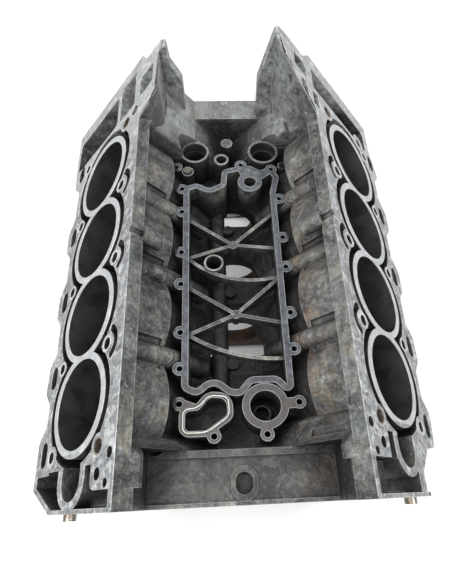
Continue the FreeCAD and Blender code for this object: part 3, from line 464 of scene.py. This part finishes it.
def makeCasting():
    # The casting from the CAD block, with a cutter's round clearance above each rear well
    bm = bmesh.new()
    bm.from_mesh(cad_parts["block"].data)
    bmesh.ops.remove_doubles(bm, verts=bm.verts, dist=machining["weld"])
    mesh = bpy.data.meshes.new("rawCasting")
    bm.to_mesh(mesh)
    bm.free()
    raw = bpy.data.objects.new("rawCasting", mesh)
    cutterMesh = bpy.data.meshes.new("clearanceCutter")
    bm = bmesh.new()
    for x, y, radius, low, high in machining["clearances"]:
        place = Matrix.Translation((x / 1000, y / 1000, (low + high) / 2000))
        bmesh.ops.create_cone(
            bm, cap_ends=True, segments=machining["roundness"], radius1=radius / 1000,
            radius2=radius / 1000, depth=(high - low) / 1000, matrix=place,
        )
    bm.to_mesh(cutterMesh)
    bm.free()
    cutter = bpy.data.objects.new("clearanceCutter", cutterMesh)
    for item in (raw, cutter):
        bpy.context.collection.objects.link(item)
    boolean = raw.modifiers.new("clearances", "BOOLEAN")
    boolean.operation = "DIFFERENCE"
    boolean.solver = "EXACT"
    boolean.object = cutter
    evaluated = raw.evaluated_get(bpy.context.evaluated_depsgraph_get())
    cutMesh = bpy.data.meshes.new_from_object(evaluated)
    bm = bmesh.new()
    bm.from_mesh(cutMesh)
    for item in (raw, cutter):
        bpy.data.objects.remove(item)
    for item in (mesh, cutterMesh, cutMesh):
        bpy.data.meshes.remove(item)
    for face in bm.faces:
        face.material_index = 0
    smoothExceptSharp(bm)
    piece = addPiece(bm, "castBlock", casts)
    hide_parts("block")


hornSkins = {
    "foot": 112,
    "thickness": 4.5,
    "setBack": 2.5,
    "ridge": 322.0,  # height at which the two deck planes would meet
    "tip": 261.5,  # the casting's own highest point, so that nothing stands above it
    "rounding": 7.0,
    "bends": (0.1, 1.2),  # upright edges that turn this much are rounded, in radians
    "right": [(117, 322), (101, 345), (85, 360), (69, 378), (61, 404)],
    "left": [(-118, 325), (-93, 335), (-84.5, 346), (-84.5, 404)],
}


def makeHornSkin(name, line):
    # Smooth inner wall of a horn, from the floor of the valley up to the deck plane
    bm = bmesh.new()
    inwards = -math.copysign(hornSkins["thickness"], line[0][0])
    foot = hornSkins["foot"] / 1000
    outer = [bm.verts.new((x / 1000, y / 1000, foot)) for x, y in line]
    inner = []
    for k, (x, y) in enumerate(line):
        back = hornSkins["setBack"] if k < len(line) - 1 else 0
        inner.append(bm.verts.new(((x + inwards) / 1000, (y - back) / 1000, foot)))
    for k in range(len(line) - 1):
        bm.faces.new((outer[k], outer[k + 1], inner[k + 1], inner[k]))
    raised = bmesh.ops.extrude_face_region(bm, geom=bm.faces[:], use_keep_orig=True)
    tops = [item for item in raised["geom"] if isinstance(item, bmesh.types.BMVert)]
    for item in tops:
        item.co.z = min(hornSkins["ridge"] / 1000 - abs(item.co.x), hornSkins["tip"] / 1000)
    bmesh.ops.recalc_face_normals(bm, faces=bm.faces)
    least, most = hornSkins["bends"]
    upright = [
        item for item in bm.edges
        if (item.verts[0].co.xy - item.verts[1].co.xy).length < machining["weld"]
        and len(item.link_faces) == 2 and least < item.calc_face_angle(0) < most
    ]
    bmesh.ops.bevel(
        bm, geom=upright, offset=hornSkins["rounding"] / 1000, offset_type="OFFSET", segments=5,
        profile=0.5, affect="EDGES", material=-1,
    )
    smoothExceptSharp(bm)
    addPiece(bm, name, casts)


makePortSeal()
makeCasting()
makeHornSkin("rightHornSkin", hornSkins["right"])
makeHornSkin("leftHornSkin", hornSkins["left"])
print("port seal, casting and horn skins made")


stageSetup = {
    "floorSize": 6.0,
    "floorColour": "#d9d9d7",
    "middle": (0, 0.17, -0.09),
    "dullWithin": 0.15,
    "glowBeyond": 0.55,
    "dullGlow": 0.12,
    "openGlow": 0.80,
    "roomColour": (0.93, 0.95, 1.0, 1),
    "roomStrength": 0.50,
}

lamps = {
    # name: place, aim, size in metres, power in watts
    "keyLight": ((-0.60, 0.15, 1.15), (0, 0.32, 0.1), 0.7, 18),
    "fillLight": ((0.70, 0.05, 1.05), (0, 0.34, 0.1), 0.7, 13),
    "frontLight": ((-0.20, -0.70, 0.95), (0, 0.40, 0.22), 0.6, 12),
    "rearLight": ((0.10, 1.20, 0.85), (0, 0.30, 0.2), 0.9, 11),
}


def makeStage():
    bm = bmesh.new()
    bmesh.ops.create_grid(bm, x_segments=1, y_segments=1, size=stageSetup["floorSize"] / 2)
    bmesh.ops.translate(bm, verts=bm.verts, vec=(0, 0.17, cadBox[0][2] - 0.0002))
    mesh = bpy.data.meshes.new("floor")
    bm.to_mesh(mesh)
    bm.free()
    floor = bpy.data.objects.new("floor", mesh)
    bpy.context.collection.objects.link(floor)
    # Pale paper that keeps the shadow: dull under the casting, and in the open it glows white
    material = bpy.data.materials.new("palePaperFloor")
    material.use_nodes = True
    tree = material.node_tree
    tree.nodes.clear()
    paperColour = {"Color": linear(stageSetup["floorColour"])}
    paper = addNode(tree, "ShaderNodeBsdfDiffuse", values=paperColour)
    white = {"Color": (1, 1, 1, 1), "Strength": 1.0}
    glow = addNode(tree, "ShaderNodeEmission", values=white)
    rays = addNode(tree, "ShaderNodeLightPath").outputs
    both = {0: rays["Is Camera Ray"], 1: rays["Is Glossy Ray"]}
    seen = addNode(tree, "ShaderNodeMath", {"operation": "MAXIMUM"}, links=both)
    place = addNode(tree, "ShaderNodeTexCoord").outputs["Object"]
    middle = {1: stageSetup["middle"]}
    away = addNode(tree, "ShaderNodeVectorMath", {"operation": "DISTANCE"}, middle, {0: place})
    limits = [stageSetup[name] for name in ("dullWithin", "glowBeyond", "dullGlow", "openGlow")]
    glowing = addNode(
        tree, "ShaderNodeMapRange", values=dict(enumerate(limits, 1)), links={0: away.outputs["Value"]},
    )
    product = {0: seen.outputs[0], 1: glowing.outputs[0]}
    share = addNode(tree, "ShaderNodeMath", {"operation": "MULTIPLY"}, links=product)
    layers = {0: share.outputs[0], 1: paper.outputs[0], 2: glow.outputs[0]}
    blend = addNode(tree, "ShaderNodeMixShader", links=layers)
    addNode(tree, "ShaderNodeOutputMaterial", links={"Surface": blend.outputs[0]})
    mesh.materials.append(material)


def makeLights():
    for name, (place, aim, side, power) in lamps.items():
        lamp = bpy.data.lights.new(name, "AREA")
        lamp.size = side
        lamp.energy = power
        holder = bpy.data.objects.new(name, lamp)
        holder.location = place
        holder.rotation_euler = (Vector(aim) - Vector(place)).to_track_quat("-Z", "Y").to_euler()
        bpy.context.collection.objects.link(holder)
    world = bpy.data.worlds.new("paleRoom")
    world.use_nodes = True
    tree = world.node_tree
    tree.nodes.clear()
    path = addNode(tree, "ShaderNodeLightPath")
    light = {"Color": stageSetup["roomColour"], "Strength": stageSetup["roomStrength"]}
    room = addNode(tree, "ShaderNodeBackground", values=light)
    white = addNode(tree, "ShaderNodeBackground", values={"Color": (1, 1, 1, 1), "Strength": 1.0})
    layers = {0: path.outputs["Is Camera Ray"], 1: room.outputs[0], 2: white.outputs[0]}
    blend = addNode(tree, "ShaderNodeMixShader", links=layers)
    addNode(tree, "ShaderNodeOutputWorld", links={"Surface": blend.outputs[0]})
    bpy.context.scene.world = world


viewpoint = {
    "place": (-0.0101, -0.1003, 0.5426),
    "right": (0.9986, -0.0468, 0.0265),
    "up": (0.0341, 0.9316, 0.3620),
    "back": (-0.0416, -0.3605, 0.9318),
    "lens": 24.84,
    "shift": (-0.018, 0.129),
}


def makeCamera():
    camera = bpy.data.cameras.new("viewCamera")
    camera.sensor_width = 36
    camera.lens = viewpoint["lens"]
    camera.shift_x, camera.shift_y = viewpoint["shift"]
    camera.clip_start = 0.01
    holder = bpy.data.objects.new("viewCamera", camera)
    turn = Matrix([viewpoint["right"], viewpoint["up"], viewpoint["back"]]).transposed().to_4x4()
    holder.matrix_world = Matrix.Translation(viewpoint["place"]) @ turn
    bpy.context.collection.objects.link(holder)
    bpy.context.scene.camera = holder


makeStage()
makeLights()
makeCamera()
bpy.context.scene.view_settings.view_transform = "Standard"
print("floor, lights and camera placed")
